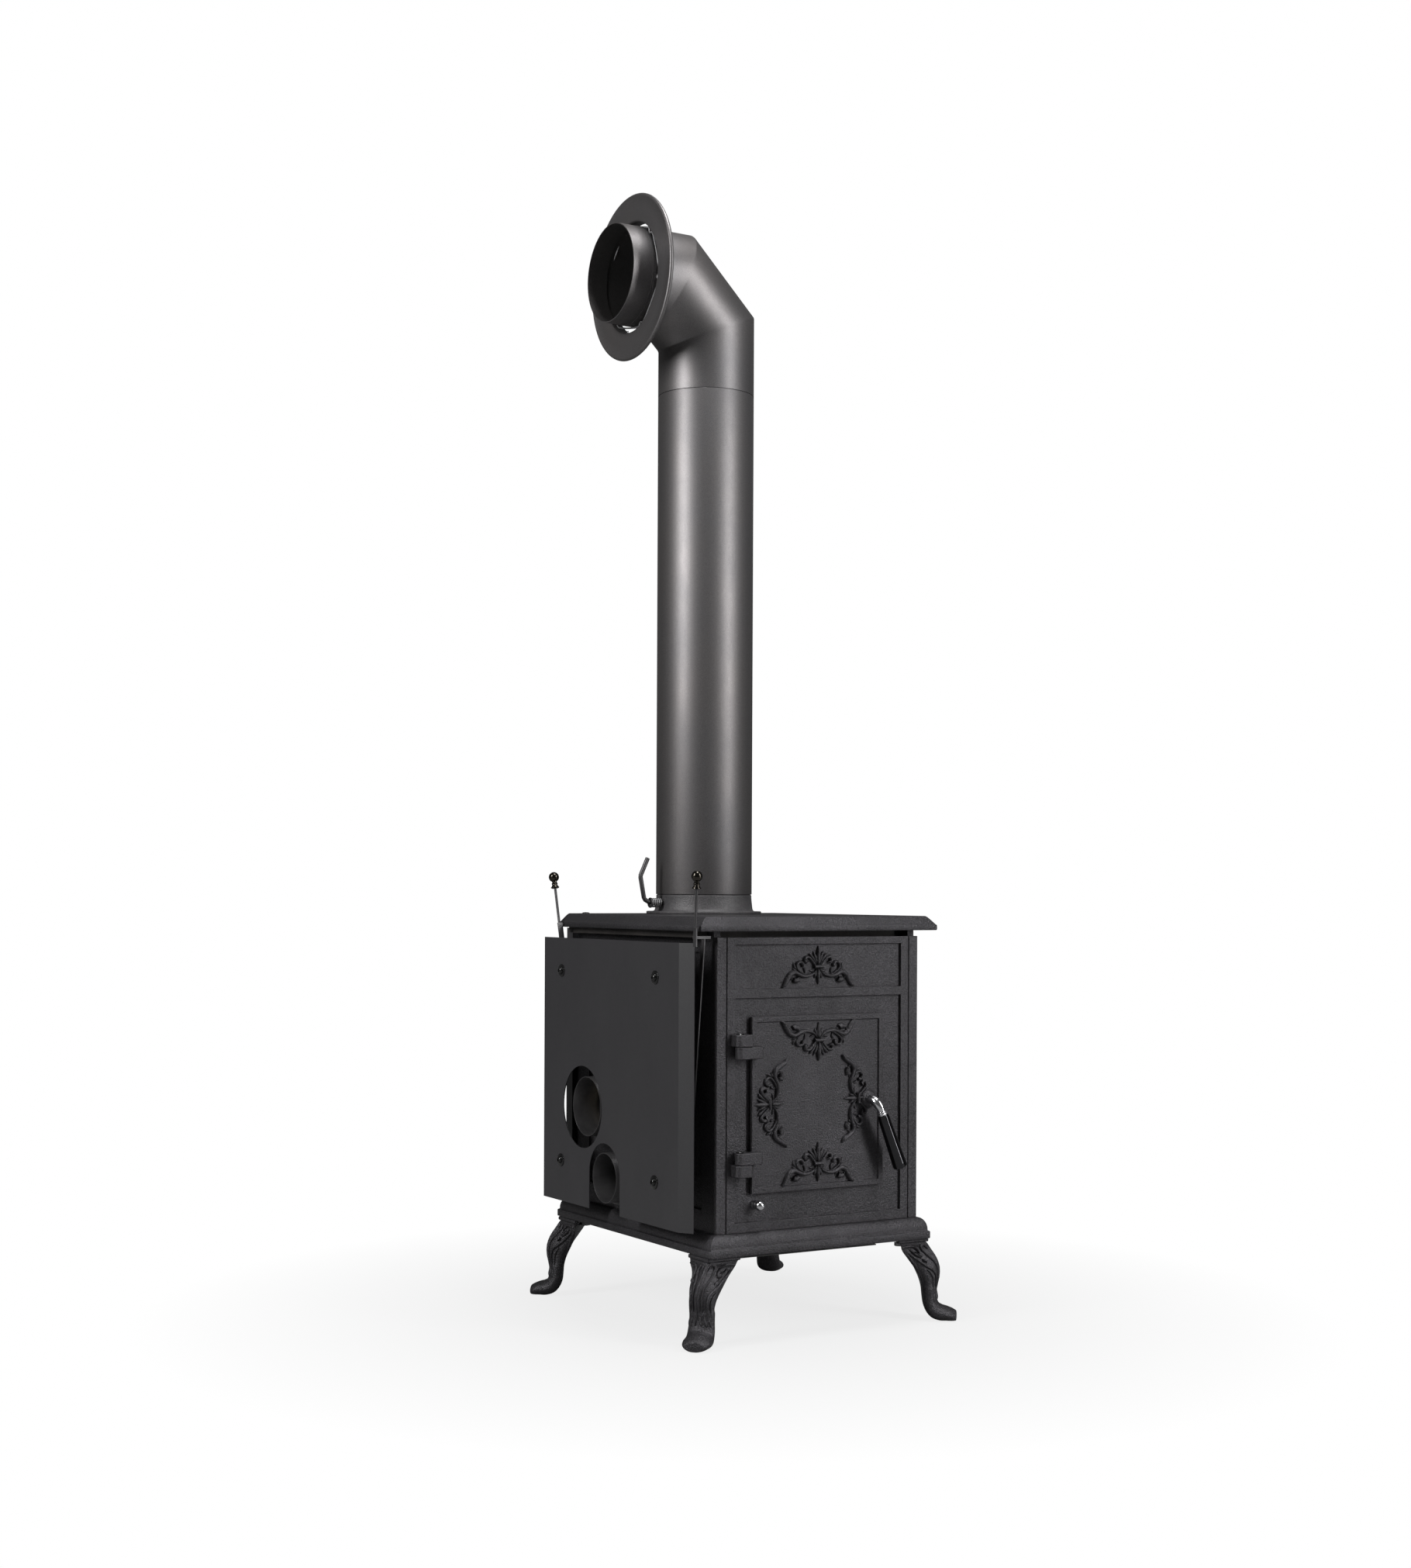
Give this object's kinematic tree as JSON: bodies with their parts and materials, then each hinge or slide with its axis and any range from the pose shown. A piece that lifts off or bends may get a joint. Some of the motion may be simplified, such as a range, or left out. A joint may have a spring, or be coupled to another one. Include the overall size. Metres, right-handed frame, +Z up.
{
  "type": "box stove",
  "caption": "Cast-iron box stove on cabriole legs with a palmette-panelled door, side heat shield, gated air ducts, flue damper, mitred flue elbow and wall rosette.",
  "frame": {"origin": "on the floor, under the middle of the stove's overall box", "axes": "+Z up along the flue pipe, -Y out of the door, -X towards the heat shield and the ducts"},
  "size_m": [0.469, 0.5208, 1.703],
  "materials": {
    "black_cast_iron": "black sand-cast surface, fine grain, satin",
    "firebox_iron": "bare cast, dull",
    "flue_collar_iron": "black, satin",
    "flue_paint": "dark grey heat-proof paint, satin",
    "shield_sheet": "smooth black sheet, satin",
    "steel_fixings": "plain steel",
    "black_fixings": "gloss black",
    "dark_steel": "dark plate steel, satin",
    "chrome_fittings": "polished",
    "black_nickel": "dark polished",
    "gloss_grip": "gloss black, heat-proof",
    "firebrick": "matt fireclay",
    "seal_rope": "woven glass rope"
  },
  "bodies": {
    "stove_body": {"base_plate": "black_cast_iron", "front_left_leg": "black_cast_iron", "front_right_leg": "black_cast_iron", "rear_left_leg": "black_cast_iron", "rear_right_leg": "black_cast_iron", "leg_bolts": "steel_fixings", "under_plate": "shield_sheet", "under_plate_bolts": "steel_fixings", "left_side_plate": "black_cast_iron", "right_side_plate": "black_cast_iron", "back_plate": "black_cast_iron", "front_plate": "black_cast_iron", "top_plate": "black_cast_iron", "top_plate_screws": "black_fixings", "tie_rods": "steel_fixings", "flue_collar": "flue_collar_iron", "flue_collar_bolts": "steel_fixings", "flue_pipe": "flue_paint", "flue_elbow": "flue_paint", "hinge_pins": "black_fixings", "hearth_plate": "firebox_iron", "grate": "firebox_iron", "ash_pan": "dark_steel", "log_guard": "firebox_iron", "baffle_plate": "firebox_iron", "side_bricks": "firebrick", "rear_brick": "firebrick", "side_heat_shield": "shield_sheet", "shield_screws": "black_fixings", "shield_washers": "black_fixings", "shield_spacers": "steel_fixings", "rear_heat_shield": "shield_sheet", "rear_shield_screws": "steel_fixings", "upper_duct": "dark_steel", "lower_duct": "dark_steel", "upper_gate_frame": "dark_steel", "lower_gate_frame": "dark_steel"},
    "door_group": {"door": "black_cast_iron", "door_liner": "firebox_iron", "door_liner_bolts": "steel_fixings", "door_rope_seal": "seal_rope"},
    "handle_group": {"handle_arm": "chrome_fittings", "handle_ferrule": "chrome_fittings", "handle_grip": "gloss_grip", "latch_cam": "steel_fixings", "latch_nut": "steel_fixings"},
    "air_control": {"air_rod": "steel_fixings", "air_knob": "chrome_fittings", "air_slide": "steel_fixings"},
    "damper_group": {"damper_disc": "firebox_iron", "damper_spindle": "dark_steel", "damper_spring": "steel_fixings"},
    "upper_gate_group": {"upper_gate": "dark_steel", "upper_gate_rod": "dark_steel", "upper_gate_knob": "black_nickel"},
    "lower_gate_group": {"lower_gate": "dark_steel", "lower_gate_rod": "dark_steel", "lower_gate_knob": "black_nickel"},
    "rosette_group": {"wall_rosette": "flue_paint", "rosette_spring_ring": "steel_fixings"}
  },
  "joints": [
    {"name": "door_swing", "type": "hinge", "parent": "stove_body", "child": "door_group", "pos_m": [-0.141, -0.231, 0.333], "axis": [0, 0, -1], "range_deg": [0, 110]},
    {"name": "handle_turn", "type": "hinge", "parent": "door_group", "child": "handle_group", "pos_m": [0.082, -0.2545, 0.3325], "axis": [0, -1, 0], "range_deg": [0, 90]},
    {"name": "air_pull", "type": "slide", "parent": "stove_body", "child": "air_control", "axis": [0, -1, 0], "range_m": [0, 0.025]},
    {"name": "damper_turn", "type": "hinge", "parent": "stove_body", "child": "damper_group", "pos_m": [0, 0.106, 0.6151], "axis": [1, 0, 0], "range_deg": [0, 90]},
    {"name": "upper_gate_drop", "type": "slide", "parent": "stove_body", "child": "upper_gate_group", "axis": [0, 0, -1], "range_m": [0, 0.05]},
    {"name": "lower_gate_drop", "type": "slide", "parent": "stove_body", "child": "lower_gate_group", "axis": [0, 0, -1], "range_m": [0, 0.03]},
    {"name": "rosette_slide", "type": "slide", "parent": "stove_body", "child": "rosette_group", "axis": [-1, 0, 0], "range_m": [-0.012, 0.03]}
  ]
}
